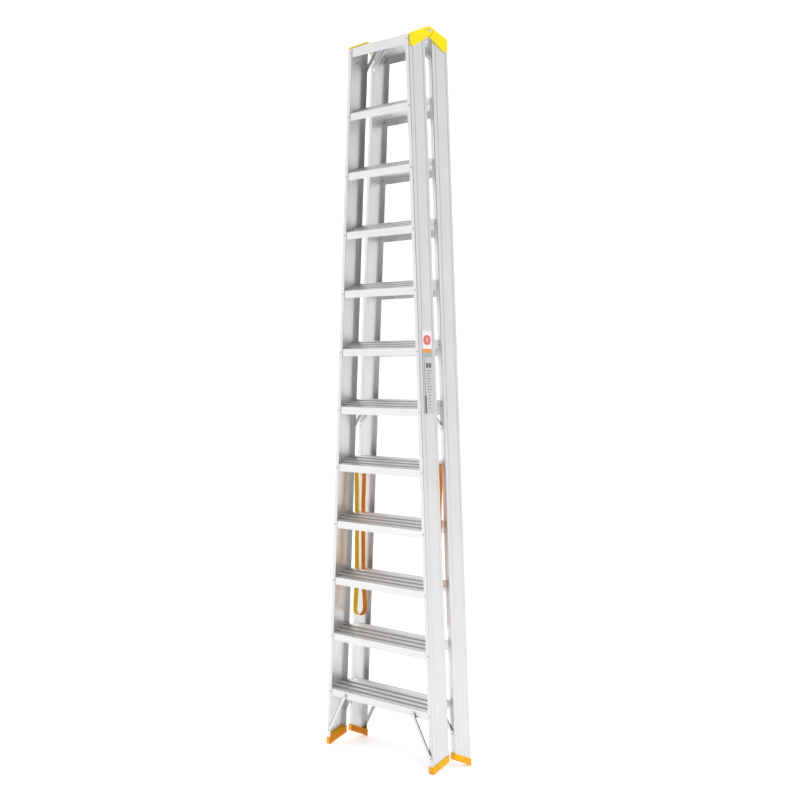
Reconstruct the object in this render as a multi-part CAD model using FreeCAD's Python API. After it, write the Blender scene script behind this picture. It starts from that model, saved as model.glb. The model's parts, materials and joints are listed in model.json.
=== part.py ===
"""Double-sided aluminium step ladder, twelve treads a side, in its closed position.

Two mirrored frames hang from one hinge line.  X runs along the treads, the front
frame is on -Y, the rear frame on +Y, and Z is up.  The origin is on the floor, in
the middle of the closed ladder.  Treads and soles are tilted by half of the
opening angle, so that they are level when the ladder stands open.
"""
import FreeCAD, Part
import math
import os

from FreeCAD import Vector

# ---- driving dimensions, millimetres and degrees --------------------------------
TREAD_COUNT = 12
TREAD_PITCH = 300.0
FIRST_TREAD_Z = 302.0        # outer top edge of the lowest tread above the floor
TOP_TREAD_LIFT = 23.0        # the top tread stands this much above the even pitch
HALF_SPREAD = 22.0           # each frame swings out by this angle
GAP = 42.0                   # between the two closed frames
FLOOR_HALF_WIDTH = 415.0     # outside of the stiles at the floor
STILE_TAPER = 0.05205        # sideways run of a stile per unit of height

STILE_DEPTH = 110.0
STILE_WEB = 2.2
FLANGE_WIDTH = 26.0
FLANGE_THICKNESS = 2.6
STILE_CORNER = 3.0
COVE_INSET = 21.0            # from each edge of the web to the middle of its shallow cove
COVE_WIDTH = 14.0
COVE_DEPTH = 1.2

LIP_HEIGHT = 38.0
TOP_LIP_HEIGHT = 43.0
LIP_THICKNESS = 1.8
TREAD_SKIN = 1.3
RIB_COUNT = 4
RIB_HEIGHT = 2.4
RIB_GROOVE = 9.0
NOSE_RADIUS = 2.4
TREAD_END_CLEARANCE = 0.6

PIN_Z = 3662.0
PIN_RADIUS = 6.0
PIN_CLEARANCE = 0.05
KNUCKLE_RADIUS = 22.0
LAYER_RADIUS = 27.0          # the two plates share the thickness within this radius of the pin
LEAF_INNER_X = 226.0         # inside of the inner hinge leaf at the pin
LEAF_THICKNESS = 3.5
WASHER_THICKNESS = 1.3
WASHER_CLEARANCE = 0.1
PLATE_INSET = 6.0            # back from the stile's outer face
PLATE_OUTER_HEIGHT = 55.0    # height of a hinge plate's outer edge
PLATE_TIP_IN = 18.0
PLATE_TIP_DROP = 9.0

FOOT_WALL = 3.0
FOOT_INNER_WALL = 4.0
FOOT_HEIGHT = 35.0
SOLE_THICKNESS = 12.0
FOOT_CLEARANCE = 0.1
SOLE_GROOVES = 5
SOLE_GROOVE_WIDTH = 5.0
SOLE_GROOVE_DEPTH = 3.0
FOOT_RIBS = 9                # upright grooves on the inner side of a foot
FOOT_RIB_GROOVE = 3.0
FOOT_RIB_DEPTH = 1.0

RIVET_RADIUS = 2.4
RIVET_HEAD_RADIUS = 4.6
RIVET_HEAD_HEIGHT = 1.8
RIVET_TAIL_RADIUS = 3.8
RIVET_TAIL_LENGTH = 2.2
HOLE_CLEARANCE = 0.1

BRACE_WIDTH = 22.0
BRACE_THICKNESS = 2.2
BRACE_FOLD = 8.0
BRACE_FOLD_MARGIN = 15.0     # from a rivet to the end of the folded edge

STRAP_X = 292.0
STRAP_WIDTH = 32.0
STRAP_THICKNESS = 2.2
STRAP_TOP_Z = 1528.0
STRAP_BOLT_Z = 1517.0
STRAP_LOOP_Z = 693.0
STRAP_BOLT_RADIUS = 4.0
STRAP_WASHER_RADIUS = 8.0
STRAP_TREAD = 5
LIP_CLEARANCE = 0.3

LABEL_BOTTOM_Z = 1777.0
LABEL_TOP_Z = 2187.0
LABEL_WIDTH = 64.0
LABEL_THICKNESS = 0.4

# ---- worked out from the dimensions above --------------------------------------
RISE = math.tan(math.radians(HALF_SPREAD))
Y_INNER = -GAP / 2                     # gap side of the front frame
Y_OUTER = Y_INNER - STILE_DEPTH        # outside of the front frame
Y_LIP_OUTER = Y_OUTER + FLANGE_THICKNESS
Y_LIP_INNER = Y_INNER - FLANGE_THICKNESS
Y_FOOT_OUTER = Y_OUTER - FOOT_WALL
Y_FOOT_INNER = Y_INNER + FOOT_WALL
STRAP_Y = Y_LIP_INNER + LIP_CLEARANCE + STRAP_THICKNESS / 2
HOLE_RADIUS = RIVET_RADIUS + HOLE_CLEARANCE
LEAF_SPLIT_X = LEAF_INNER_X + LEAF_THICKNESS
OUTER_LEAF_X = LEAF_SPLIT_X + WASHER_THICKNESS + 2 * WASHER_CLEARANCE
PLATE_OUTER_X = OUTER_LEAF_X + LEAF_THICKNESS
FAR = 6000.0                           # larger than the ladder

# Braces of one frame: (name, tread end x z, stile end x z, on the outer face?)
BRACES = [
    ("top_braces", (112.0, 3645.0), (216.0, 3532.0), False),
    ("middle_braces", (214.0, 1819.0), (313.0, 1701.0), False),
    ("bottom_inner_braces", (300.0, 319.0), (392.5, 176.0), False),
    ("bottom_outer_braces", (265.0, 279.0), (396.0, 75.0), True),
]


def half_width(z):
    """Outside of a stile's web, measured from the middle, at height z."""
    return FLOOR_HALF_WIDTH - STILE_TAPER * z


def tread_z(number):
    """Height of a tread's outer top edge."""
    lift = TOP_TREAD_LIFT if number == TREAD_COUNT else 0.0
    return FIRST_TREAD_Z + TREAD_PITCH * (number - 1) + lift


def lip_height(number):
    return TOP_LIP_HEIGHT if number == TREAD_COUNT else LIP_HEIGHT


def inner_lip_top(number):
    """Height of a tread's top edge on the gap side."""
    return tread_z(number) + RISE * (Y_LIP_INNER - Y_LIP_OUTER)


def rounded_face(corners):
    """Planar face from (point, radius) corners, each rounded by an arc."""
    edges = []
    starts = []
    count = len(corners)
    for index, (point, radius) in enumerate(corners):
        if radius <= 0:
            starts.append((point, point))
            continue
        before = (corners[index - 1][0] - point).normalize()
        after = (corners[(index + 1) % count][0] - point).normalize()
        half_turn = before.getAngle(after) / 2
        reach = radius / math.tan(half_turn)
        middle = (before + after).normalize()
        bulge = point + middle * (radius / math.sin(half_turn) - radius)
        first = point + before * reach
        last = point + after * reach
        edges.append(Part.Arc(first, bulge, last).toShape())
        starts.append((first, last))
    for index in range(count):
        leave = starts[index][1]
        arrive = starts[(index + 1) % count][0]
        if leave.distanceToPoint(arrive) > 1e-6:
            edges.append(Part.LineSegment(leave, arrive).toShape())
    return Part.Face(Part.Wire(Part.__sortEdges__(edges)))


def cylinder_y(x, z, y_start, y_end, radius):
    """Cylinder along Y between two heights of y."""
    length = abs(y_end - y_start)
    direction = Vector(0, math.copysign(1.0, y_end - y_start), 0)
    return Part.makeCylinder(radius, length, Vector(x, y_start, z), direction)


def cylinder_x(y, z, x_start, x_end, radius):
    return Part.makeCylinder(radius, x_end - x_start, Vector(x_start, y, z), Vector(1, 0, 0))


def above_tilt(y_zero, z_zero):
    """Everything above the plane that rises towards the gap from (y_zero, z_zero)."""
    corner = [
        Vector(-FAR, -FAR, z_zero + RISE * (-FAR - y_zero)),
        Vector(-FAR, FAR, z_zero + RISE * (FAR - y_zero)),
        Vector(-FAR, FAR, 2 * FAR),
        Vector(-FAR, -FAR, 2 * FAR),
    ]
    return Part.Face(Part.makePolygon(corner + corner[:1])).extrude(Vector(2 * FAR, 0, 0))


def slanted(face, z_low, z_high):
    """Extrude a level face, drawn at floor width, along the stile's slant."""
    face = face.copy()
    face.translate(Vector(-STILE_TAPER * z_low, 0, z_low))
    height = z_high - z_low
    return face.extrude(Vector(-STILE_TAPER * height, 0, height))


# ---- stiles ---------------------------------------------------------------------
def stile_face(grown=0.0):
    """C section of the front right stile: web outwards, flanges inwards."""
    out = FLOOR_HALF_WIDTH + grown
    web_in = FLOOR_HALF_WIDTH - STILE_WEB - grown
    tip = FLOOR_HALF_WIDTH - FLANGE_WIDTH - grown
    low = Y_OUTER - grown
    high = Y_INNER + grown
    low_in = Y_OUTER + FLANGE_THICKNESS + grown
    high_in = Y_INNER - FLANGE_THICKNESS - grown
    corners = [
        (Vector(tip, low, 0), 1.0),
        (Vector(out, low, 0), STILE_CORNER),
        (Vector(out, high, 0), STILE_CORNER),
        (Vector(tip, high, 0), 1.0),
        (Vector(tip, high_in, 0), 1.0),
        (Vector(web_in, high_in, 0), 1.0),
        (Vector(web_in, low_in, 0), 1.0),
        (Vector(tip, low_in, 0), 1.0),
    ]
    return rounded_face(corners)


def stile(holes):
    body = slanted(stile_face(), -50.0, PIN_Z + 100.0)
    cove_radius = (COVE_WIDTH ** 2 / 4 + COVE_DEPTH ** 2) / (2 * COVE_DEPTH)
    cove_x = FLOOR_HALF_WIDTH - COVE_DEPTH + cove_radius
    for y in (Y_OUTER + COVE_INSET, Y_INNER - COVE_INSET):
        circle = Part.makeCircle(cove_radius, Vector(cove_x, y, 0))
        body = body.cut(slanted(Part.Face(Part.Wire(circle)), -60.0, PIN_Z + 110.0))
    body = body.cut(above_tilt(Y_OUTER, tread_z(TREAD_COUNT) - 1.0))
    body = body.common(above_tilt(Y_FOOT_OUTER, SOLE_THICKNESS))
    return body.cut(holes)


# ---- treads ---------------------------------------------------------------------
def tread(number, holes):
    """Inverted channel with a ribbed, tilted top and two lips along the flanges."""
    z_outer = tread_z(number)
    lip = lip_height(number)

    def top(y):
        return z_outer + RISE * (y - Y_LIP_OUTER)

    depth = Y_LIP_INNER - Y_LIP_OUTER
    rib_pitch = (depth + RIB_GROOVE) / RIB_COUNT
    corners = [(Vector(0, Y_LIP_OUTER, z_outer - lip), 0.5)]
    for rib in range(RIB_COUNT):
        start = Y_LIP_OUTER + rib * rib_pitch
        end = start + rib_pitch - RIB_GROOVE
        start_radius = NOSE_RADIUS if rib == 0 else 0.8
        end_radius = 1.5 if rib == RIB_COUNT - 1 else 0.8
        corners.append((Vector(0, start, top(start)), start_radius))
        corners.append((Vector(0, end, top(end)), end_radius))
        if rib < RIB_COUNT - 1:
            following = start + rib_pitch
            corners.append((Vector(0, end, top(end) - RIB_HEIGHT), 0.5))
            corners.append((Vector(0, following, top(following) - RIB_HEIGHT), 0.5))
    under = RIB_HEIGHT + TREAD_SKIN
    inside_low = Y_LIP_OUTER + LIP_THICKNESS
    inside_high = Y_LIP_INNER - LIP_THICKNESS
    inner_bottom = top(Y_LIP_INNER) - lip
    corners += [
        (Vector(0, Y_LIP_INNER, inner_bottom), 0.5),
        (Vector(0, inside_high, inner_bottom), 0.5),
        (Vector(0, inside_high, top(inside_high) - under), 1.5),
        (Vector(0, inside_low, top(inside_low) - under), 1.5),
        (Vector(0, inside_low, z_outer - lip), 0.5),
    ]
    half = half_width(top(Y_LIP_INNER)) - STILE_WEB - TREAD_END_CLEARANCE
    face = rounded_face(corners)
    face.translate(Vector(-half, 0, 0))
    return face.extrude(Vector(2 * half, 0, 0)).cut(holes)


# ---- rivets and their holes -----------------------------------------------------
def rivet(x, z, y_head, y_back):
    """Rivet along Y, its head standing on y_head and its tail formed on y_back."""
    inwards = math.copysign(1.0, y_back - y_head)
    head = Part.makeCone(
        RIVET_HEAD_RADIUS, RIVET_HEAD_RADIUS * 0.6, RIVET_HEAD_HEIGHT, Vector(x, y_head, z), Vector(0, -inwards, 0)
    )
    shank = cylinder_y(x, z, y_head, y_back + inwards * RIVET_TAIL_LENGTH, RIVET_RADIUS)
    tail = cylinder_y(x, z, y_back, y_back + inwards * RIVET_TAIL_LENGTH, RIVET_TAIL_RADIUS)
    return head.fuse(shank).fuse(tail).removeSplitter()


def tread_rivet_places():
    """(x, z, head y, back y) of every rivet between a tread and the right stile."""
    places = []
    for number in range(1, TREAD_COUNT + 1):
        z = tread_z(number) - 17.0
        x = half_width(z) - FLANGE_WIDTH / 2
        places.append((x, z, Y_OUTER, Y_LIP_OUTER + LIP_THICKNESS))
        for drop in (12.0, 26.0):
            z = inner_lip_top(number) - drop
            x = half_width(z) - FLANGE_WIDTH / 2
            places.append((x, z, Y_INNER, Y_LIP_INNER - LIP_THICKNESS))
    return places


def brace_rivet_places(tread_end, stile_end, on_outer_face):
    """Rivets at a brace's tread end and stile end."""
    if on_outer_face:
        face, back, stile_back = Y_OUTER, Y_LIP_OUTER + LIP_THICKNESS, Y_OUTER + FLANGE_THICKNESS
        head = face - BRACE_THICKNESS
    else:
        face, back, stile_back = Y_INNER, Y_LIP_INNER - LIP_THICKNESS, Y_INNER - FLANGE_THICKNESS
        head = face + BRACE_THICKNESS
    return [(*tread_end, head, back), (*stile_end, head, stile_back)]


def plate_rivet_places():
    """(y, z) of the rivets that hold a front hinge plate to its stile."""
    return [(-112.0, 3592.0), (-112.0, 3622.0), (-46.0, 3640.0)]


def plate_rivet(y, z):
    """Rivet along X, from the hinge plate's outside into the stile."""
    web_in = half_width(z) - STILE_WEB - HOLE_CLEARANCE
    head = Part.makeCone(
        RIVET_HEAD_RADIUS, RIVET_HEAD_RADIUS * 0.6, RIVET_HEAD_HEIGHT, Vector(PLATE_OUTER_X, y, z), Vector(1, 0, 0)
    )
    shank = cylinder_x(y, z, web_in - RIVET_TAIL_LENGTH, PLATE_OUTER_X, RIVET_RADIUS)
    tail = cylinder_x(y, z, web_in - RIVET_TAIL_LENGTH - 0.4, web_in - 0.4, RIVET_TAIL_RADIUS)
    return head.fuse(shank).fuse(tail).removeSplitter()


# ---- braces ---------------------------------------------------------------------
def brace(tread_end, stile_end, on_outer_face):
    """Flat strip with round ends and one folded edge, riveted to tread and stile."""
    face_y, outwards = (Y_OUTER, -1.0) if on_outer_face else (Y_INNER, 1.0)
    start = Vector(tread_end[0], face_y, tread_end[1])
    end = Vector(stile_end[0], face_y, stile_end[1])
    along = (end - start).normalize()
    length = start.distanceToPoint(end)
    thickness = Vector(0, outwards * BRACE_THICKNESS, 0)
    side = along.cross(Vector(0, 1, 0)).normalize() * (BRACE_WIDTH / 2)
    outline = Part.Wire([
        Part.LineSegment(start + side, end + side).toShape(),
        Part.Arc(end + side, end + along * (BRACE_WIDTH / 2), end - side).toShape(),
        Part.LineSegment(end - side, start - side).toShape(),
        Part.Arc(start - side, start - along * (BRACE_WIDTH / 2), start + side).toShape(),
    ])
    strip = Part.Face(outline).extrude(thickness)
    fold_start = start + along * BRACE_FOLD_MARGIN + side
    fold_end = start + along * (length - BRACE_FOLD_MARGIN) + side
    inset = side.normalize() * -BRACE_THICKNESS
    fold_outline = [fold_start, fold_end, fold_end + inset, fold_start + inset]
    fold = Part.Face(Part.makePolygon(fold_outline + fold_outline[:1]))
    fold = fold.extrude(Vector(0, outwards * BRACE_FOLD, 0))
    pad = cylinder_y(start.x, start.z, face_y, face_y - outwards * FLANGE_THICKNESS, BRACE_WIDTH / 2 - 2)
    solid = strip.fuse(fold).fuse(pad).removeSplitter()
    for x, z, head, back in brace_rivet_places(tread_end, stile_end, on_outer_face):
        solid = solid.cut(cylinder_y(x, z, head + outwards * 5, back - outwards * 5, HOLE_RADIUS))
    return solid


# ---- feet -----------------------------------------------------------------------
def foot():
    """Moulded boot around the bottom of a stile, with a ribbed, tilted sole."""
    inner_x = FLOOR_HALF_WIDTH - FLANGE_WIDTH - FOOT_INNER_WALL
    outer_x = FLOOR_HALF_WIDTH + FOOT_WALL
    corners = [
        (Vector(inner_x, Y_FOOT_OUTER, 0), 3.0),
        (Vector(outer_x, Y_FOOT_OUTER, 0), 5.0),
        (Vector(outer_x, Y_FOOT_INNER, 0), 5.0),
        (Vector(inner_x, Y_FOOT_INNER, 0), 3.0),
    ]
    boot = slanted(rounded_face(corners), -60.0, 200.0)
    boot = boot.common(above_tilt(Y_FOOT_OUTER, 0.0))
    boot = boot.cut(above_tilt(Y_FOOT_OUTER, FOOT_HEIGHT))
    socket = slanted(stile_face(FOOT_CLEARANCE), -60.0, 300.0)
    socket = socket.common(above_tilt(Y_FOOT_OUTER, SOLE_THICKNESS - FOOT_CLEARANCE))
    boot = boot.cut(socket)
    spacing = (Y_FOOT_INNER - Y_FOOT_OUTER) / (SOLE_GROOVES + 1)
    for groove in range(1, SOLE_GROOVES + 1):
        y = Y_FOOT_OUTER + groove * spacing
        z = RISE * (y - Y_FOOT_OUTER)
        cutter = Part.makeBox(
            2 * FLANGE_WIDTH + 20, SOLE_GROOVE_WIDTH, 2 * SOLE_GROOVE_DEPTH,
            Vector(inner_x - 20, y - SOLE_GROOVE_WIDTH / 2, z - SOLE_GROOVE_DEPTH),
        )
        cutter.rotate(Vector(0, y, z), Vector(1, 0, 0), HALF_SPREAD)
        boot = boot.cut(cutter)
    rib_pitch = (Y_FOOT_INNER - Y_FOOT_OUTER) / (FOOT_RIBS + 1)
    for rib in range(1, FOOT_RIBS + 1):
        y = Y_FOOT_OUTER + rib * rib_pitch
        groove = Part.makePlane(
            2 * FOOT_RIB_DEPTH, FOOT_RIB_GROOVE, Vector(inner_x - FOOT_RIB_DEPTH, y - FOOT_RIB_GROOVE / 2, 0)
        )
        bottom = RISE * (y - Y_FOOT_OUTER) + SOLE_THICKNESS
        boot = boot.cut(slanted(groove, bottom, bottom + FOOT_HEIGHT - SOLE_THICKNESS - 6.0))
    return boot


# ---- hinges ---------------------------------------------------------------------
def plate_outline():
    """Outline of the front hinge plate: a tapering arm that ends in a round knuckle."""
    tilt = math.radians(HALF_SPREAD)
    top_touch = Vector(0, -KNUCKLE_RADIUS * math.sin(tilt), PIN_Z + KNUCKLE_RADIUS * math.cos(tilt))
    outer_y = Y_OUTER + PLATE_INSET
    outer_top = Vector(0, outer_y, top_touch.z + RISE * (outer_y - top_touch.y))
    outer_low = outer_top - Vector(0, 0, PLATE_OUTER_HEIGHT)
    tip = outer_low + Vector(0, PLATE_TIP_IN, -PLATE_TIP_DROP)
    # the lower edge leaves the knuckle along a tangent from the tip
    pin = Vector(0, 0, PIN_Z)
    reach = tip - pin
    distance = reach.Length
    base = math.atan2(reach.z, reach.y)
    touch_angle = base + math.acos(KNUCKLE_RADIUS / distance)
    low_touch = pin + Vector(0, math.cos(touch_angle), math.sin(touch_angle)) * KNUCKLE_RADIUS
    far_side = pin + Vector(0, KNUCKLE_RADIUS, 0)
    edges = [
        Part.LineSegment(top_touch, outer_top).toShape(),
        Part.LineSegment(outer_top, outer_low).toShape(),
        Part.LineSegment(outer_low, tip).toShape(),
        Part.LineSegment(tip, low_touch).toShape(),
        Part.Arc(low_touch, far_side, top_touch).toShape(),
    ]
    return Part.Face(Part.Wire(edges))


def inside_web():
    """Everything inside the plane of the right stiles' outer faces."""
    corner = [
        Vector(-FAR, -FAR, -FAR),
        Vector(half_width(-FAR), -FAR, -FAR),
        Vector(half_width(FAR), -FAR, FAR),
        Vector(-FAR, -FAR, FAR),
    ]
    return Part.Face(Part.makePolygon(corner + corner[:1])).extrude(Vector(0, 2 * FAR, 0))


def hinge_plate(is_front):
    """Right hinge plate; the front knuckle lies outside the rear one."""
    start_x = LEAF_INNER_X - 20.0
    outline = plate_outline()
    outline.translate(Vector(start_x, 0, 0))
    plate = outline.extrude(Vector(PLATE_OUTER_X - start_x, 0, 0))
    plate = plate.cut(inside_web())
    knuckle_inside = Part.makeBox(40.0, 2 * GAP, 200.0, Vector(LEAF_INNER_X - 40.0, Y_INNER, PIN_Z - 100.0))
    plate = plate.cut(knuckle_inside)
    if is_front:
        plate = plate.cut(cylinder_x(0, PIN_Z, start_x - 10, OUTER_LEAF_X, LAYER_RADIUS))
    else:
        plate = plate.cut(cylinder_x(0, PIN_Z, LEAF_SPLIT_X, PLATE_OUTER_X + 10, LAYER_RADIUS))
    plate = plate.cut(cylinder_x(0, PIN_Z, start_x, PLATE_OUTER_X + 1, PIN_RADIUS + PIN_CLEARANCE))
    for y, z in plate_rivet_places():
        plate = plate.cut(cylinder_x(y, z, start_x, PLATE_OUTER_X + 1, HOLE_RADIUS))
    return plate


def hinge_pin():
    """Headed pin through both knuckles, with a nut on the inside."""
    head_radius = PIN_RADIUS + 4.0
    clearance = WASHER_CLEARANCE
    head_x = PLATE_OUTER_X + clearance
    nut_x = LEAF_INNER_X - clearance
    head = Part.makeCone(head_radius, head_radius * 0.75, 3.5, Vector(head_x, 0, PIN_Z), Vector(1, 0, 0))
    shank = cylinder_x(0, PIN_Z, nut_x - 9.0, head_x, PIN_RADIUS)
    nut_wire = Part.makePolygon([
        Vector(nut_x - 6.5, 9.5 * math.cos(math.radians(60 * k)), PIN_Z + 9.5 * math.sin(math.radians(60 * k)))
        for k in range(7)
    ])
    nut = Part.Face(nut_wire).extrude(Vector(6.5, 0, 0))
    return head.fuse(shank).fuse(nut).removeSplitter()


def hinge_washer():
    x_start = LEAF_SPLIT_X + WASHER_CLEARANCE
    x_end = x_start + WASHER_THICKNESS
    disc = cylinder_x(0, PIN_Z, x_start, x_end, KNUCKLE_RADIUS - 4)
    return disc.cut(cylinder_x(0, PIN_Z, x_start - 1, x_end + 1, PIN_RADIUS + PIN_CLEARANCE))


# ---- spreader straps ------------------------------------------------------------
def strap():
    """Front half of the right webbing loop, from its bolt to the loop's lowest point."""
    loop_radius = -STRAP_Y
    centre_z = STRAP_LOOP_Z + loop_radius
    outer = loop_radius + STRAP_THICKNESS / 2
    inner = loop_radius - STRAP_THICKNESS / 2
    middle_y = -0.05
    slant = math.radians(225)

    def on_arc(radius):
        return Vector(0, radius * math.cos(slant), centre_z + radius * math.sin(slant))

    edges = [
        Part.LineSegment(Vector(0, -outer, STRAP_TOP_Z), Vector(0, -outer, centre_z)).toShape(),
        Part.Arc(Vector(0, -outer, centre_z), on_arc(outer), Vector(0, 0, centre_z - outer)).toShape(),
        Part.LineSegment(Vector(0, 0, centre_z - outer), Vector(0, 0, centre_z - inner)).toShape(),
        Part.Arc(Vector(0, 0, centre_z - inner), on_arc(inner), Vector(0, -inner, centre_z)).toShape(),
        Part.LineSegment(Vector(0, -inner, centre_z), Vector(0, -inner, STRAP_TOP_Z)).toShape(),
        Part.LineSegment(Vector(0, -inner, STRAP_TOP_Z), Vector(0, -outer, STRAP_TOP_Z)).toShape(),
    ]
    face = Part.Face(Part.Wire(edges))
    face.translate(Vector(STRAP_X - STRAP_WIDTH / 2, 0, 0))
    half = face.extrude(Vector(STRAP_WIDTH, 0, 0))
    beyond_middle = Part.makeBox(100.0, 50.0, 100.0, Vector(STRAP_X - 50, middle_y, STRAP_LOOP_Z - 50))
    half = half.cut(beyond_middle)
    return half.cut(cylinder_y(STRAP_X, STRAP_BOLT_Z, -40, 0, STRAP_BOLT_RADIUS + LIP_CLEARANCE))


def strap_bolt():
    """Bolt, washer and nut that hold a strap to the inner lip of its tread."""
    seat = STRAP_Y + STRAP_THICKNESS / 2 + LIP_CLEARANCE
    lip_back = Y_LIP_INNER - LIP_THICKNESS
    washer = cylinder_y(STRAP_X, STRAP_BOLT_Z, seat, seat + 1.2, STRAP_WASHER_RADIUS)
    head = cylinder_y(STRAP_X, STRAP_BOLT_Z, seat + 1.2, seat + 4.6, 6.0)
    shank = cylinder_y(STRAP_X, STRAP_BOLT_Z, seat, lip_back - 8.0, STRAP_BOLT_RADIUS)
    nut = cylinder_y(STRAP_X, STRAP_BOLT_Z, lip_back, lip_back - 6.0, 6.5)
    return washer.fuse(head).fuse(shank).fuse(nut).removeSplitter()


def label():
    """Thin label on the outside of the front right stile."""
    middle = (Y_OUTER + Y_INNER) / 2
    face = Part.makePlane(LABEL_THICKNESS, LABEL_WIDTH, Vector(FLOOR_HALF_WIDTH, middle - LABEL_WIDTH / 2, 0))
    return slanted(face, LABEL_BOTTOM_Z, LABEL_TOP_Z)


# ---- left and rear copies, export -----------------------------------------------
def to_left(shape):
    return shape.mirror(Vector(0, 0, 0), Vector(1, 0, 0))


def to_rear(shape):
    return shape.mirror(Vector(0, 0, 0), Vector(0, 1, 0))


def both_sides(shapes):
    """The right-hand shapes together with their left-hand mirror images."""
    return list(shapes) + [to_left(shape) for shape in shapes]


def save(name, shapes):
    shapes = shapes if isinstance(shapes, list) else [shapes]
    solids = [solid for shape in shapes for solid in shape.Solids]
    for solid in solids:
        if not solid.isValid() or solid.Volume <= 0:
            raise ValueError("bad solid in " + name)
    result = solids[0] if len(solids) == 1 else Part.makeCompound(solids)
    result.exportStep("parts/" + name + ".step")
    print(name, len(solids), round(sum(solid.Volume for solid in solids) / 1000, 1), "cm3")


def frame_shapes():
    """Every piece of the front frame, by its name without the frame's prefix."""
    tread_rivets = tread_rivet_places()
    brace_rivets = []
    for _, tread_end, stile_end, on_outer_face in BRACES:
        brace_rivets += brace_rivet_places(tread_end, stile_end, on_outer_face)
    right_holes = [
        cylinder_y(x, z, head, back + math.copysign(4.0, back - head), HOLE_RADIUS)
        for x, z, head, back in tread_rivets + brace_rivets
    ]
    web_holes = [cylinder_x(y, z, 150.0, 300.0, HOLE_RADIUS) for y, z in plate_rivet_places()]
    strap_holes = both_sides([
        cylinder_y(STRAP_X, STRAP_BOLT_Z, 0, Y_LIP_INNER - 10, STRAP_BOLT_RADIUS + HOLE_CLEARANCE)
    ])
    right_stile = stile(Part.makeCompound(right_holes + web_holes))
    shapes = {
        "right_stile": right_stile,
        "left_stile": to_left(right_stile),
        "right_foot": foot(),
    }
    shapes["left_foot"] = to_left(shapes["right_foot"])
    for number in range(1, TREAD_COUNT + 1):
        low = tread_z(number) - TREAD_PITCH / 4
        high = tread_z(number) + TREAD_PITCH / 4
        near = [hole for hole in both_sides(right_holes) if low < hole.CenterOfMass.z < high]
        if number == STRAP_TREAD:
            near += strap_holes
        shapes["tread_%02d" % number] = tread(number, Part.makeCompound(near))
    for name, tread_end, stile_end, on_outer_face in BRACES:
        shapes[name] = both_sides([brace(tread_end, stile_end, on_outer_face)])
    shapes["tread_rivets"] = both_sides([rivet(*place) for place in tread_rivets])
    shapes["brace_rivets"] = both_sides([rivet(*place) for place in brace_rivets])
    shapes["hinge_rivets"] = both_sides([plate_rivet(y, z) for y, z in plate_rivet_places()])
    shapes["strap_bolts"] = both_sides([strap_bolt()])
    shapes["right_strap"] = strap()
    shapes["left_strap"] = to_left(shapes["right_strap"])
    return shapes


def main():
    os.makedirs("parts", exist_ok=True)
    for name, shape in frame_shapes().items():
        shapes = shape if isinstance(shape, list) else [shape]
        save("front_" + name, shapes)
        save("rear_" + name, [to_rear(one) for one in shapes])
    front_plate = hinge_plate(True)
    rear_plate = to_rear(hinge_plate(False))
    save("front_right_hinge_plate", front_plate)
    save("front_left_hinge_plate", to_left(front_plate))
    save("rear_right_hinge_plate", rear_plate)
    save("rear_left_hinge_plate", to_left(rear_plate))
    save("right_hinge_pin", hinge_pin())
    save("left_hinge_pin", to_left(hinge_pin()))
    save("hinge_washers", both_sides([hinge_washer()]))
    save("front_label", label())


main()
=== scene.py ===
"""Looks for the double-sided step ladder: metals, paint, rubber, webbing and label."""
import bpy
import json
import math
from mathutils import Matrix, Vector


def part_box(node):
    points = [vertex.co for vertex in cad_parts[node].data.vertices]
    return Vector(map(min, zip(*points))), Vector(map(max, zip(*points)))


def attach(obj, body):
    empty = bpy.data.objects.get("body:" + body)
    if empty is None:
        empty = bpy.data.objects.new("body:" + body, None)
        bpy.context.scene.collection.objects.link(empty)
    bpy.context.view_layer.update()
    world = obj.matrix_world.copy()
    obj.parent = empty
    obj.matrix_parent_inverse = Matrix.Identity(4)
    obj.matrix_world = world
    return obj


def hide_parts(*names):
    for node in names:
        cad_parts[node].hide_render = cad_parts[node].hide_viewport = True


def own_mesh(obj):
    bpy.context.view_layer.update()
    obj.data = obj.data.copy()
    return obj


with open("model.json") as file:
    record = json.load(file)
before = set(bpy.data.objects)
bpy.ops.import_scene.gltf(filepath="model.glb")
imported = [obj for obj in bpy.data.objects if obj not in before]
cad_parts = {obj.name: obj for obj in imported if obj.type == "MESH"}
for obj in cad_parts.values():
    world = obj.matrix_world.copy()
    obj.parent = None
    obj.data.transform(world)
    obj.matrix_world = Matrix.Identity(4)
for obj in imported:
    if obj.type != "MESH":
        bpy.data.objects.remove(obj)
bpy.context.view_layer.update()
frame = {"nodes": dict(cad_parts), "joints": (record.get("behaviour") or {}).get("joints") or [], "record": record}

# ---- sizes, in metres, that the frame doesn't name -------------------------------
STILE_TAPER = 0.05205        # sideways run of a stile per unit of height
STILE_OUTER_X = 0.415        # outside of a stile, at the floor
FOOT_INNER_X = 0.385         # inner face of a foot, at the floor
LIP_HEIGHT = 0.038
TREAD_PITCH = 0.3
GROOVE_DEPTH = 0.0024
GROOVE_PITCH = 0.02845
GROOVE_START = 0.0185        # from a tread's nose to the painted shade of its first groove
STRAP_THICKNESS = 0.0022
SELVEDGE = 0.0026            # width of a strap's thicker edge
STRAP_BULGE = {"front": 0.001, "rear": 0.006}    # how far a strap stands off its plane
BULGE_MARGIN = 0.004         # between a bulge's ends and the treads
LOOP_BULGE = 0.011           # how far a strap stands off its plane at its loop
LABEL_LIFT = 0.0003          # thickness of one layer of print
FLOOR_REACH = 60.0
LIGHT_TARGET = (0.0, 0.0, 1.8)

# ---- shares, tones and step counts -----------------------------------------------
GAP_FLANGE_SHADE = 0.6       # painted shade: the front frame's gap-side flanges are darkened where the gap shades them
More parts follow.
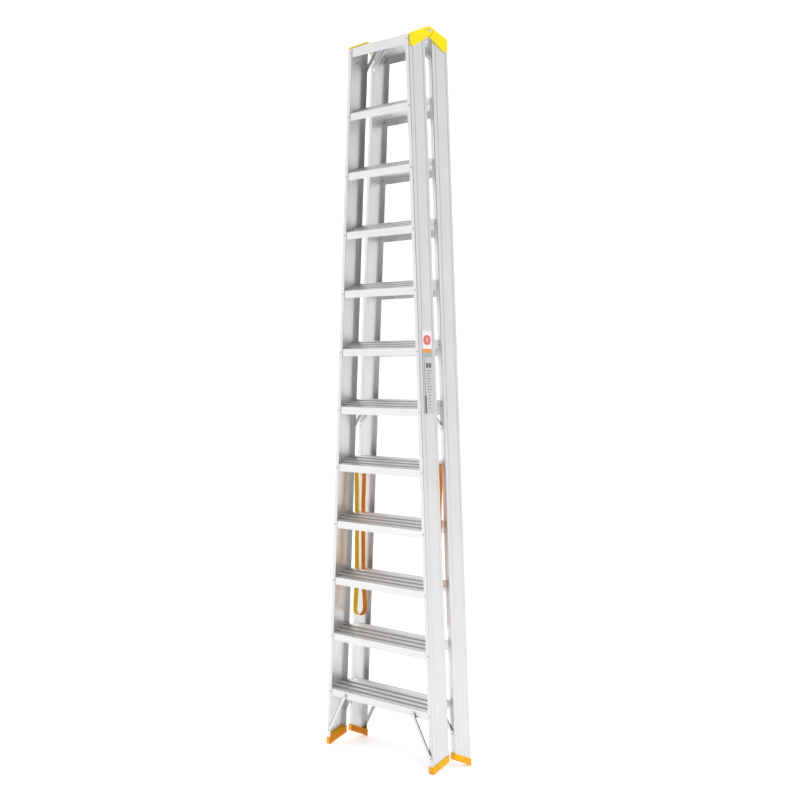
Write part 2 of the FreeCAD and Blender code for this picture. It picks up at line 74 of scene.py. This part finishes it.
# (distance in front of the middle, cover) across those flanges
GAP_FLANGE = [(0.02, 0.0), (0.0205, 1.0), (0.0236, 1.0), (0.0239, 0.0)]
# painted light: the treads' tops, all but the lips, get a brighter colour than the rest of the metal
TREAD_TOP_LIGHT_TONE = 0.97
# painted shade: tone and cover of the dark lines painted along the treads' grooves
GROOVE_SHADE_TONE = 0.42
GROOVE_SHADE_COVER = 0.85
TAB_STEPS = 4
STRAP_STEPS = 150
LOOP_STEPS = 24
WHITE = (1.0, 1.0, 1.0, 1.0)
FLOOR_GLOW = 0.3
STUDIO_STRENGTH = 1.2
DARK_SIDE = (0.74, -0.67, 0.05)    # direction of the studio's unlit side
# brightness by direction: from opposite the dark side to towards it, and from level to upwards
SIDE_LEVELS = [(0.0, 0.93), (0.56, 0.94), (0.74, 0.53), (0.95, 0.115)]
HEIGHT_LEVELS = [(0.12, 0.82), (0.5, 1.0)]

SIDES = ("right", "left")
FRAMES = ("front", "rear")
OPENING_DEG = max(joint["range_deg"][1] for joint in frame["joints"] if "frame" in joint["name"])
RISE = math.tan(OPENING_DEG * math.pi / 180)    # slope of a closed ladder's treads


# ---- node building ---------------------------------------------------------------
class Nodes:
    """Short calls for building one material's node tree."""

    def __init__(self, name):
        self.material = bpy.data.materials.new(name)
        self.material.use_nodes = True
        self.tree = self.material.node_tree
        self.shader = self.tree.nodes["Principled BSDF"]

    def add(self, kind, inputs=(), **settings):
        made = self.tree.nodes.new("ShaderNode" + kind)
        for key, value in settings.items():
            setattr(made, key, value)
        for key, value in dict(inputs).items():
            self.put(made.inputs[key], value)
        return made

    def put(self, socket, value):
        if isinstance(value, bpy.types.NodeSocket):
            self.tree.links.new(value, socket)
        else:
            socket.default_value = value

    def set(self, **values):
        """Sets the shader's own sockets; an underscore stands for a space."""
        for key, value in values.items():
            self.put(self.shader.inputs[key.replace("_", " ")], value)

    def math(self, operation, first, second=0.0, third=0.0):
        return self.add("Math", {0: first, 1: second, 2: third}, operation=operation).outputs[0]

    def position(self):
        """The three coordinates of a point in the ladder's frame."""
        coordinates = self.add("TexCoord").outputs["Object"]
        parts = self.add("SeparateXYZ", {0: coordinates})
        return parts.outputs[0], parts.outputs[1], parts.outputs[2]

    def vector(self, x, y, z):
        return self.add("CombineXYZ", {0: x, 1: y, 2: z}).outputs[0]

    def noise(self, vector, scale, detail=3.0, roughness=0.5):
        inputs = {"Vector": vector, "Scale": scale, "Detail": detail, "Roughness": roughness}
        return self.add("TexNoise", inputs).outputs["Fac"]

    def ramp(self, factor, stops):
        """Colour or grey ramp from (position, value) stops."""
        made = self.add("ValToRGB", {"Fac": factor})
        ramp = made.color_ramp
        while len(ramp.elements) < len(stops):
            ramp.elements.new(0.5)
        for element, (position, value) in zip(ramp.elements, stops):
            element.position = position
            element.color = value if isinstance(value, tuple) else (value, value, value, 1.0)
        return made.outputs["Color"]

    def mix(self, factor, first, second):
        made = self.add("Mix", data_type="RGBA")
        self.put(made.inputs["Factor"], factor)
        self.put(made.inputs["A"], first)
        self.put(made.inputs["B"], second)
        return made.outputs["Result"]

    def span(self, value, low, high):
        """A 0 to 1 value stretched to run from low to high."""
        return self.math("MULTIPLY_ADD", value, high - low, low)

    def bump(self, height, distance, strength=1.0):
        made = self.add("Bump", {"Height": height, "Distance": distance, "Strength": strength})
        self.set(Normal=made.outputs["Normal"])


def grey(value):
    return (value, value, value * 1.006, 1.0)


# ---- materials -------------------------------------------------------------------
def tread_masks(n, y, z, outer_top):
    """Masks for all of a tilted tread but its lips, where painted light brightens the top, and for the painted
    shade along its grooves.
    """
    outer_y = max(abs(corner[1]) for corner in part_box("front_tread_01"))
    inwards = n.math("SUBTRACT", outer_y, n.math("ABSOLUTE", y))
    level = n.math("MULTIPLY_ADD", inwards, -RISE, n.math("SUBTRACT", z, outer_top - TREAD_PITCH / 2))
    above = n.math("SUBTRACT", n.math("FLOORED_MODULO", level, TREAD_PITCH), TREAD_PITCH / 2)
    depth = n.math("MULTIPLY", above, -0.5 / GROOVE_DEPTH)
    on_top = n.ramp(depth, [(0.54, 1.0), (0.6, 0.0)])
    share = n.math("MULTIPLY", inwards, 1.0 / outer_y)
    beside_lips = n.ramp(share, [(0.02, 0.0), (0.05, 1.0)])
    past_nose = n.ramp(share, [(0.012, 0.0), (0.02, 1.0)])
    along = n.math("FLOORED_MODULO", n.math("SUBTRACT", inwards, GROOVE_START), GROOVE_PITCH)
    stops = [(0.0, 0.3), (0.06, 1.0), (0.38, 1.0), (0.5, 0.0)]
    band = n.ramp(n.math("MULTIPLY", along, 1.0 / GROOVE_PITCH), stops)
    return beside_lips, n.math("MULTIPLY", band, n.math("MULTIPLY", on_top, past_nose))


def extruded_aluminium(name, along, light, dark, rough_low, rough_high, outer_top=None):
    """Mill-finish extrusion with die lines along one direction, "stile" or "tread"."""
    n = Nodes(name)
    x, y, z = n.position()
    stile = along == "stile"
    if stile:
        across = n.math("MULTIPLY_ADD", z, STILE_TAPER, n.math("ABSOLUTE", x))
        lines = n.vector(across, y, n.math("MULTIPLY", z, 0.012))
    else:
        lines = n.vector(n.math("MULTIPLY", x, 0.02), y, z)
    broad = n.noise(lines, 130.0, 4.0, 0.6)
    fine = n.noise(lines, 900.0, 2.0)
    cloud = n.noise(n.vector(x, y, z), 5.0, 5.0, 0.6)
    streaks = n.math("MULTIPLY_ADD", fine, 0.45, n.math("MULTIPLY", broad, 0.55))
    tone = n.math("MULTIPLY_ADD", cloud, 0.3, n.math("MULTIPLY", streaks, 0.7))
    colour = n.ramp(tone, [(0.36, grey(dark)), (0.64, grey(light))])
    scuffs = n.ramp(n.noise(n.vector(x, y, z), 22.0, 6.0, 0.7), [(0.58, 0.0), (0.72, 1.0)])
    roughness = n.span(streaks, rough_low, rough_high)
    roughness = n.math("MULTIPLY_ADD", scuffs, 0.08, roughness)
    if stile:
        # painted shade: the front frame's gap-side flanges get a darker colour, standing in for the gap's shade
        stops = [(10.0 * away, share) for away, share in GAP_FLANGE]
        painted_gap_shade = n.ramp(n.math("MULTIPLY", y, -10.0), stops)
        colour = n.mix(painted_gap_shade, colour, grey(dark * GAP_FLANGE_SHADE))
    if outer_top is not None:
        beside_lips, groove_shade = tread_masks(n, y, z, outer_top)
        # painted light: the tops of the treads, all but the lips, are given a brighter colour
        painted_light_top = n.ramp(tone, [(0.36, grey(0.93 * TREAD_TOP_LIGHT_TONE)), (0.64, grey(TREAD_TOP_LIGHT_TONE))])
        colour = n.mix(beside_lips, colour, painted_light_top)
        roughness = n.math("MULTIPLY_ADD", beside_lips, 0.08, roughness)
        # painted shade: dark lines are painted along the treads' grooves, where the grooves' far walls are in
        # shade
        colour = n.mix(n.math("MULTIPLY", groove_shade, GROOVE_SHADE_COVER), colour, grey(GROOVE_SHADE_TONE))
        roughness = n.math("MULTIPLY_ADD", groove_shade, 0.2, roughness)
    n.set(Base_Color=colour, Metallic=1.0, Roughness=roughness)
    n.bump(streaks, 0.00025, 0.5)
    return n.material


def plated_steel(name, tone, roughness):
    """Zinc-plated steel with faint crystals."""
    n = Nodes(name)
    x, y, z = n.position()
    place = n.vector(x, y, z)
    cells = n.add("TexVoronoi", {"Vector": place, "Scale": 260.0}).outputs["Color"]
    cloud = n.noise(place, 60.0, 4.0)
    crystals = n.add("RGBToBW", {0: cells}).outputs[0]
    shade = n.math("MULTIPLY_ADD", crystals, 0.35, n.math("MULTIPLY", cloud, 0.65))
    n.set(Base_Color=n.ramp(shade, [(0.3, grey(tone * 0.9)), (0.7, grey(tone * 1.06))]), Metallic=1.0)
    n.set(Roughness=n.span(shade, roughness - 0.06, roughness + 0.08))
    n.bump(cloud, 0.0002, 0.4)
    return n.material


def powder_coat():
    """Lemon yellow powder coat with a light orange-peel surface."""
    n = Nodes("hinge_yellow_coat")
    x, y, z = n.position()
    place = n.vector(x, y, z)
    cloud = n.noise(place, 30.0, 4.0)
    colour = n.ramp(cloud, [(0.35, (0.83, 0.61, 0.001, 1.0)), (0.65, (0.91, 0.68, 0.002, 1.0))])
    peel = n.noise(place, 700.0, 2.0)
    n.set(Base_Color=colour, Roughness=n.span(cloud, 0.3, 0.4), Specular_IOR_Level=0.2)
    n.bump(peel, 0.0002, 0.5)
    return n.material


def painted_rivet():
    """Hinge rivet: its head has the plate's paint and its tail is bare alloy."""
    n = Nodes("hinge_rivet_paint")
    x, y, z = n.position()
    cloud = n.noise(n.vector(x, y, z), 60.0, 4.0)
    across = n.math("MULTIPLY_ADD", z, STILE_TAPER, n.math("ABSOLUTE", x))
    painted = n.math("GREATER_THAN", across, STILE_OUTER_X)
    paint = n.ramp(cloud, [(0.35, (0.78, 0.53, 0.001, 1.0)), (0.65, (0.86, 0.6, 0.002, 1.0))])
    n.set(Base_Color=n.mix(painted, n.ramp(cloud, [(0.3, grey(0.4)), (0.7, grey(0.5))]), paint))
    n.set(Metallic=n.math("SUBTRACT", 1.0, painted))
    n.set(Roughness=n.span(cloud, 0.32, 0.42), Specular_IOR_Level=0.2)
    n.bump(cloud, 0.0002, 0.4)
    return n.material


def moulded_foot():
    """Orange moulded rubber, duller and darker where it is scuffed."""
    n = Nodes("foot_orange")
    x, y, z = n.position()
    place = n.vector(x, y, z)
    cloud = n.noise(place, 40.0, 5.0, 0.6)
    grain = n.noise(place, 1500.0, 2.0)
    low = n.math("SUBTRACT", 1.0, n.math("MULTIPLY", z, 22.0))
    dirt = n.math("MULTIPLY", n.math("MAXIMUM", low, 0.0), n.ramp(cloud, [(0.45, 0.0), (0.7, 0.6)]))
    clean = n.ramp(cloud, [(0.35, (0.88, 0.4, 0.002, 1.0)), (0.65, (0.96, 0.48, 0.004, 1.0))])
    inwards = n.math("SUBTRACT", FOOT_INNER_X, n.math("MULTIPLY_ADD", z, STILE_TAPER, n.math("ABSOLUTE", x)))
    inner_side = n.ramp(n.math("MULTIPLY_ADD", inwards, 100.0, 0.5), [(0.1, 0.0), (0.25, 1.0)])
    in_groove = n.ramp(n.math("MULTIPLY_ADD", inwards, 1000.0, 0.5), [(0.0, 1.0), (0.3, 0.0)])
    stained = n.mix(n.math("MULTIPLY", in_groove, 0.8), (0.72, 0.24, 0.002, 1.0), (0.16, 0.04, 0.001, 1.0))
    clean = n.mix(inner_side, clean, stained)
    n.set(Base_Color=n.mix(dirt, clean, (0.36, 0.2, 0.06, 1.0)), Roughness=n.span(cloud, 0.5, 0.66))
    n.set(Specular_IOR_Level=0.25)
    n.bump(grain, 0.0003, 0.6)
    return n.material


def woven_webbing(name, dark, light):
    """Flat webbing with slanted weft ribs, lengthwise yarns and a little fuzz."""
    n = Nodes(name)
    x, y, z = n.position()
    across = n.math("ABSOLUTE", x)
    slant = n.math("PINGPONG", across, 0.004)
    ribs = n.add("TexWave", {"Vector": n.vector(0.0, 0.0, n.math("ADD", z, slant)), "Scale": 210.0,
                             "Distortion": 0.0}, wave_type="BANDS", bands_direction="Z").outputs["Fac"]
    yarns = n.add("TexWave", {"Vector": n.vector(across, 0.0, 0.0), "Scale": 320.0,
                              "Distortion": 0.0}, wave_type="BANDS", bands_direction="X").outputs["Fac"]
    fuzz = n.noise(n.vector(x, y, z), 1200.0, 3.0, 0.7)
    weave = n.math("MULTIPLY", ribs, n.span(yarns, 0.55, 1.0))
    height = n.math("MULTIPLY_ADD", fuzz, 0.25, weave)
    cloud = n.noise(n.vector(x, y, z), 14.0, 4.0)
    tone = n.math("MULTIPLY_ADD", cloud, 0.4, n.math("MULTIPLY", height, 0.5))
    colour = n.ramp(tone, [(0.15, dark), (0.6, light)])
    n.set(Base_Color=colour, Roughness=n.span(fuzz, 0.62, 0.85), Sheen_Weight=0.05, Sheen_Roughness=0.4)
    n.set(Specular_IOR_Level=0.2)
    n.bump(height, 0.0006, 0.8)
    return n.material


def printed_film(name, colour, dark):
    """Printed label film with slight print mottle and a soft gloss."""
    n = Nodes(name)
    x, y, z = n.position()
    mottle = n.noise(n.vector(x, y, z), 300.0, 4.0)
    n.set(Base_Color=n.ramp(mottle, [(0.3, dark), (0.7, colour)]), Roughness=n.span(mottle, 0.28, 0.42))
    n.set(Coat_Weight=0.3, Coat_Roughness=0.15)
    n.bump(mottle, 0.0001, 0.3)
    return n.material


def tread_metal(name, node):
    """The treads' metal, with painted light on its tops and painted shade along the grooves of the treads that are
    in step with a node.
    """
    low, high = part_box(node)
    outer_top = high[2] - RISE * (high[1] - low[1])
    return extruded_aluminium(name, "tread", 0.78, 0.69, 0.3, 0.42, outer_top)


def paint_nodes():
    """Gives every CAD node its detailed material, by its material slot."""
    by_slot = {
        "stile_aluminium": extruded_aluminium("stile_metal", "stile", 0.76, 0.67, 0.3, 0.44),
        "tread_aluminium": tread_metal("tread_metal", "front_tread_01"),
        "brace_metal": plated_steel("brace_steel", 0.74, 0.34),
        "rivet_metal": plated_steel("rivet_alloy", 0.4, 0.36),
        "zinc_steel": plated_steel("zinc_plate", 0.66, 0.3),
        "hinge_yellow": powder_coat(),
        "foot_plastic": moulded_foot(),
        "webbing": woven_webbing("webbing_gold", (0.97, 0.48, 0.003, 1.0), (1.0, 0.55, 0.005, 1.0)),
        "label_film": printed_film("label_film", (0.52, 0.52, 0.52, 1.0), (0.46, 0.46, 0.46, 1.0)),
    }
    top_tread_metal = tread_metal("top_tread_metal", "front_tread_12")
    rivet_paint = painted_rivet()
    for subpart in frame["record"]["subparts"]:
        mesh = frame["nodes"][subpart["node"]].data
        mesh.materials.clear()
        if subpart["node"].endswith("tread_12"):
            mesh.materials.append(top_tread_metal)
        elif subpart["node"].endswith("hinge_rivets"):
            mesh.materials.append(rivet_paint)
        else:
            mesh.materials.append(by_slot[subpart["material_slot"]])
    return by_slot


# ---- meshes ----------------------------------------------------------------------
def add_mesh(name, points, faces, material, smooth=True):
    mesh = bpy.data.meshes.new(name)
    mesh.from_pydata([tuple(point) for point in points], [], faces)
    mesh.validate()
    for face in mesh.polygons:
        face.use_smooth = smooth
    mesh.materials.append(material)
    piece = bpy.data.objects.new(name, mesh)
    bpy.context.scene.collection.objects.link(piece)
    return piece


def sweep_band(name, path, centre_x, width, materials, half):
    """Webbing swept along (y, z) points, with thicker selvedges and its own inner face."""
    edge = width / 2
    stations = [-edge, -edge + SELVEDGE, -edge * 0.4, 0.0, edge * 0.4, edge - SELVEDGE, edge]
    swell = [0.55, 1.0, 0.82, 0.8, 0.82, 1.0, 0.55]
    one_side = list(zip(stations, swell))
    ring = [(station, share * STRAP_THICKNESS / 2) for station, share in one_side]
    ring += [(station, -share * STRAP_THICKNESS / 2) for station, share in reversed(one_side)]
    points = []
    for index, here in enumerate(path):
        before = path[max(index - 1, 0)]
        after = path[min(index + 1, len(path) - 1)]
        along = Vector((after[0] - before[0], after[1] - before[1])).normalized()
        for station, offset in ring:
            points.append((centre_x + station, here[0] - along.y * offset, here[1] + along.x * offset))
    count = len(ring)
    first_side, second_side = range(len(stations) - 1), range(len(stations), count - 1)
    inner_columns = first_side if half == "front" else second_side
    faces = []
    for row in range(len(path) - 1):
        for column in range(count):
            following = (column + 1) % count
            low, high = row * count, (row + 1) * count
            faces.append((low + column, low + following, high + following, high + column))
    faces.append(tuple(range(count))[::-1])
    last = (len(path) - 1) * count
    faces.append(tuple(last + column for column in range(count)))
    piece = add_mesh(name, points, faces, materials[0])
    piece.data.materials.append(materials[1])
    for index, face in enumerate(piece.data.polygons):
        if index < len(faces) - 2 and index % count in inner_columns:
            face.material_index = 1
    return piece


# ---- straps ----------------------------------------------------------------------
def strap_offset(z, low, high, depth):
    """How far the strap stands off its plane at height z, most of all near the gap's top."""
    if not low < z < high:
        return 0.0
    down = (high - z) / (high - low)
    return depth * math.sin(math.pi * math.sqrt(down)) ** 2


def make_straps(webbing):
    """Two straps, each a front and a rear half: a tab fixed at the bolt, a leg and half a loop."""
    inner_webbing = woven_webbing("webbing_inside", (0.78, 0.25, 0.002, 1.0), (1.0, 0.35, 0.003, 1.0))
    materials = (webbing, inner_webbing)
    for side in SIDES:
        for half in FRAMES:
            node = half + "_" + side + "_strap"
            low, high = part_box(node)
            centre_x = (low[0] + high[0]) / 2
            width = high[0] - low[0]
            sign = -1.0 if half == "front" else 1.0
            plane = max(abs(low[1]), abs(high[1])) - STRAP_THICKNESS / 2
            tread_tops = [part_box("%s_tread_%02d" % (half, number))[1][2] for number in (3, 4, 5)]
            gap_low = tread_tops[1] + BULGE_MARGIN
            gap_high = tread_tops[2] - LIP_HEIGHT - BULGE_MARGIN
            radius = plane + LOOP_BULGE
            loop_z = low[2] + STRAP_THICKNESS / 2
            centre_z = loop_z + radius
            start = tread_tops[0] - LIP_HEIGHT
            bolt_low, bolt_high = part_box(half + "_strap_bolts")
            bolt_z = (bolt_low[2] + bolt_high[2]) / 2
            tab = []
            for step in range(TAB_STEPS + 1):
                tab.append((sign * plane, high[2] + (bolt_z - high[2]) * step / TAB_STEPS))
            leg = []
            for step in range(STRAP_STEPS + 1):
                z = bolt_z + (centre_z - bolt_z) * step / STRAP_STEPS
                out = strap_offset(z, gap_low, gap_high, STRAP_BULGE[half])
                if z < start:
                    turn = math.pi / 2 * (start - z) / (start - centre_z)
                    out = LOOP_BULGE * math.sin(turn) ** 2
                leg.append((sign * (plane + out), z))
            arc = []
            for step in range(LOOP_STEPS + 1):
                angle = math.pi / 2 * step / LOOP_STEPS
                arc.append((sign * radius * math.cos(angle), centre_z - radius * math.sin(angle)))
            leg_piece = sweep_band(node + "_webbing", leg, centre_x, width, materials, half)
            arc_piece = sweep_band(node + "_loop", arc, centre_x, width, materials, half)
            tab_piece = sweep_band(node + "_tab", tab, centre_x, width, materials, half)
            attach(tab_piece, half + "_frame")
            for piece in (leg_piece, arc_piece):
                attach(piece, half + "_straps")
            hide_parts(node)
            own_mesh(arc_piece)


# ---- label -----------------------------------------------------------------------
PANEL_INSET = 0.0005
PANEL_BOTTOM = 0.09          # below the label's top edge, as are the next eight heights
ORANGE_TOP = 0.09
ORANGE_BOTTOM = 0.108
GREEN_TOP = 0.109
GREEN_BOTTOM = 0.132
STRIPE_TOP = 0.14
BLOCK_TOP = 0.16
BLOCK_BOTTOM = 0.182
RULE_TOP = 0.194             # of the first rule
NOTE_TOP = 0.122             # above the label's lower edge, for the first note
BAR_TOP = 0.09               # above the label's lower edge
BAR_FOOT = 0.004             # the same
BADGE_SIZE = 0.05
BADGE_DROP = 0.046           # from the label's top edge to the badge's centre
BADGE_FLAT = 0.001           # half the straight stretch between two of its corners
BADGE_BAR = (0.0025, 0.012)  # half its width and half its height
BAND_INSET = 0.003
BLOCK_START = 0.02           # in from the label's front edge
BLOCK_PITCH = 0.019
BLOCK_WIDTH = 0.015
STRIPE_SPAN = (0.008, 0.012)    # in from the label's front edge
BAR_SPAN = (0.006, 0.017)       # the same
RULE_SIDES = (0.024, 0.01)      # in from the label's front and rear edges
NOTE_SIDES = (0.026, 0.012)     # the same
RULE_PITCH = 0.013
RULE_THICKNESS = 0.0035
NOTE_PITCH = 0.015
NOTE_THICKNESS = 0.003
RAGGED = 0.006               # step between the ends of short and long lines
PRINT_ROWS = 7
CORNER_STEPS = 6


def make_label():
    """A plain label: a red badge, two bands, a table of rules and a side stripe."""
    low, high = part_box("front_label")
    y_low, y_high = low[1], high[1]
    z_low, z_high = low[2], high[2]
    surface_at_floor = high[0] + STILE_TAPER * z_low
    width = y_high - y_low

    def patch(name, y_start, y_end, z_start, z_end, material, corner=0.0, lift=LABEL_LIFT):
        outline = []
        steps = CORNER_STEPS if corner else 0
        for centre_y, centre_z, turn in (
            (y_end - corner, z_end - corner, 0.0), (y_start + corner, z_end - corner, 90.0),
            (y_start + corner, z_start + corner, 180.0), (y_end - corner, z_start + corner, 270.0),
        ):
            for step in range(steps + 1):
                angle = math.radians(turn + 90.0 * step / max(steps, 1))
                outline.append((centre_y + corner * math.cos(angle), centre_z + corner * math.sin(angle)))
        count = len(outline)
        points = []
        for height in (lift, 0.0):
            for y, z in outline:
                points.append((surface_at_floor - STILE_TAPER * z + height, y, z))
        faces = [tuple(range(count)), tuple(range(2 * count - 1, count - 1, -1))]
        for index in range(count):
            following = (index + 1) % count
            faces.append((index, count + index, count + following, following))
        piece = add_mesh(name, points, faces, material, smooth=False)
        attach(piece, "front_frame")
        return piece

    white = printed_film("label_white", (0.8, 0.74, 0.74, 1.0), (0.74, 0.68, 0.68, 1.0))
    red = printed_film("label_red", (0.7, 0.13, 0.12, 1.0), (0.62, 0.1, 0.09, 1.0))
    orange = printed_film("label_orange", (0.72, 0.3, 0.04, 1.0), (0.62, 0.24, 0.03, 1.0))
    green = printed_film("label_green", (0.36, 0.41, 0.39, 1.0), (0.3, 0.35, 0.33, 1.0))
    ink = printed_film("label_ink", (0.24, 0.24, 0.24, 1.0), (0.18, 0.18, 0.18, 1.0))
    dark_ink = printed_film("label_dark_ink", (0.1, 0.09, 0.09, 1.0), (0.06, 0.055, 0.055, 1.0))
    middle = (y_low + y_high) / 2
    badge_z = z_high - BADGE_DROP
    reach = BADGE_SIZE / 2
    bar_reach, bar_rise = BADGE_BAR
    patch("label_panel", y_low + PANEL_INSET, y_high - PANEL_INSET,
          z_high - PANEL_BOTTOM, z_high - PANEL_INSET, white)
    patch("label_badge", middle - reach, middle + reach, badge_z - reach, badge_z + reach,
          red, reach - BADGE_FLAT, lift=2 * LABEL_LIFT)
    patch("label_badge_bar", middle - bar_reach, middle + bar_reach,
          badge_z - bar_rise, badge_z + bar_rise, white, lift=3 * LABEL_LIFT)
    band = (y_low + BAND_INSET, y_high - BAND_INSET)
    patch("label_orange_band", *band, z_high - ORANGE_BOTTOM, z_high - ORANGE_TOP, orange)
    patch("label_green_band", *band, z_high - GREEN_BOTTOM, z_high - GREEN_TOP, green)
    for row in range(2):
        start = y_low + BLOCK_START + BLOCK_PITCH * row
        patch("label_block_%d" % row, start, start + BLOCK_WIDTH,
              z_high - BLOCK_BOTTOM, z_high - BLOCK_TOP, dark_ink)
    for row in range(PRINT_ROWS):
        top = z_high - RULE_TOP - row * RULE_PITCH
        end = y_high - RULE_SIDES[1] - RAGGED * (row % 3)
        patch("label_rule_%d" % row, y_low + RULE_SIDES[0], end, top - RULE_THICKNESS, top, ink)
    patch("label_stripe", y_low + STRIPE_SPAN[0], y_low + STRIPE_SPAN[1],
          z_low + BAR_TOP, z_high - STRIPE_TOP, ink)
    patch("label_bar", y_low + BAR_SPAN[0], y_low + BAR_SPAN[1], z_low + BAR_FOOT, z_low + BAR_TOP, dark_ink)
    for row in range(PRINT_ROWS):
        top = z_low + NOTE_TOP - row * NOTE_PITCH
        end = y_high - NOTE_SIDES[1] - RAGGED * (row % 2)
        patch("label_note_%d" % row, y_low + NOTE_SIDES[0], end, top - NOTE_THICKNESS, top, ink)


# ---- floor, light, camera --------------------------------------------------------
def make_floor():
    """Matt white floor with a faint glow, for staging only."""
    n = Nodes("studio_floor")
    x, y, z = n.position()
    cloud = n.noise(n.vector(x, y, z), 1.5, 4.0)
    colour = n.ramp(cloud, [(0.3, 0.86), (0.7, 0.9)])
    n.set(Base_Color=colour, Roughness=0.7, Emission_Color=WHITE, Emission_Strength=FLOOR_GLOW)
    corners = [(x * FLOOR_REACH, y * FLOOR_REACH, 0) for x, y in ((-1, -1), (1, -1), (1, 1), (-1, 1))]
    floor = add_mesh("studio_floor", corners, [(0, 1, 2, 3)], n.material, smooth=False)


def make_world():
    """Studio with a bright ceiling, dimmer sides and one dark side; the camera sees plain white."""
    world = bpy.data.worlds.new("studio")
    bpy.context.scene.world = world
    world.use_nodes = True
    tree = world.node_tree
    add, join = tree.nodes.new, tree.links.new
    direction = add("ShaderNodeTexCoord").outputs["Generated"]
    parts = add("ShaderNodeSeparateXYZ")
    join(direction, parts.inputs[0])
    towards = add("ShaderNodeVectorMath")
    towards.operation = "DOT_PRODUCT"
    towards.inputs[1].default_value = DARK_SIDE
    join(direction, towards.inputs[0])

    def graded(value, stops):
        made = add("ShaderNodeValToRGB")
        join(value, made.inputs["Fac"])
        while len(made.color_ramp.elements) < len(stops):
            made.color_ramp.elements.new(0.5)
        for element, (position, level) in zip(made.color_ramp.elements, stops):
            element.position = position
            element.color = (level, level, level, 1.0)
        return made.outputs["Color"]

    half = add("ShaderNodeMath")
    half.operation = "MULTIPLY_ADD"
    half.inputs[1].default_value = 0.5
    half.inputs[2].default_value = 0.5
    join(towards.outputs["Value"], half.inputs[0])
    sides = graded(half.outputs[0], SIDE_LEVELS)
    heights = graded(parts.outputs[2], HEIGHT_LEVELS)
    product = add("ShaderNodeMix")
    product.data_type = "RGBA"
    product.blend_type = "MULTIPLY"
    product.inputs["Factor"].default_value = 1.0
    join(sides, product.inputs["A"])
    join(heights, product.inputs["B"])
    seen = add("ShaderNodeMix")
    seen.data_type = "RGBA"
    seen.inputs["B"].default_value = WHITE
    join(add("ShaderNodeLightPath").outputs["Is Camera Ray"], seen.inputs["Factor"])
    join(product.outputs["Result"], seen.inputs["A"])
    join(seen.outputs["Result"], tree.nodes["Background"].inputs["Color"])
    tree.nodes["Background"].inputs["Strength"].default_value = STUDIO_STRENGTH


def area_light(name, place, size, power, in_reflections=True):
    """Rectangular light aimed at the ladder's middle; power is in watts."""
    data = bpy.data.lights.new(name, "AREA")
    data.shape = "RECTANGLE"
    data.size, data.size_y = size
    data.energy = power
    light = bpy.data.objects.new(name, data)
    light.visible_glossy = in_reflections
    light.location = place
    light.rotation_euler = (Vector(LIGHT_TARGET) - Vector(place)).to_track_quat("-Z", "Y").to_euler()
    bpy.context.scene.collection.objects.link(light)


def make_camera():
    data = bpy.data.cameras.new("camera")
    data.sensor_width = 36.0
    data.lens = 65.72
    data.shift_x = 0.0178
    data.shift_y = 0.0775
    camera = bpy.data.objects.new("camera", data)
    camera.location = (5.565, -5.010, 1.9965)
    camera.rotation_euler = (math.radians(86.373), 0.0, math.radians(48.447))
    bpy.context.scene.collection.objects.link(camera)
    bpy.context.scene.camera = camera


materials = paint_nodes()
make_straps(materials["webbing"])
make_label()
make_floor()
make_world()
area_light("softbox_front", place=(-4.5, -4.6, 2.4), size=(2.5, 5.0), power=14.0)
area_light("softbox_side", place=(4.6, 4.4, 2.4), size=(2.5, 5.0), power=6.0)
area_light("softbox_key", place=(9.0, -4.5, 9.0), size=(6.0, 6.0), power=700.0, in_reflections=False)
make_camera()
bpy.context.scene.view_settings.view_transform = "Standard"

bpy.context.view_layer.update()
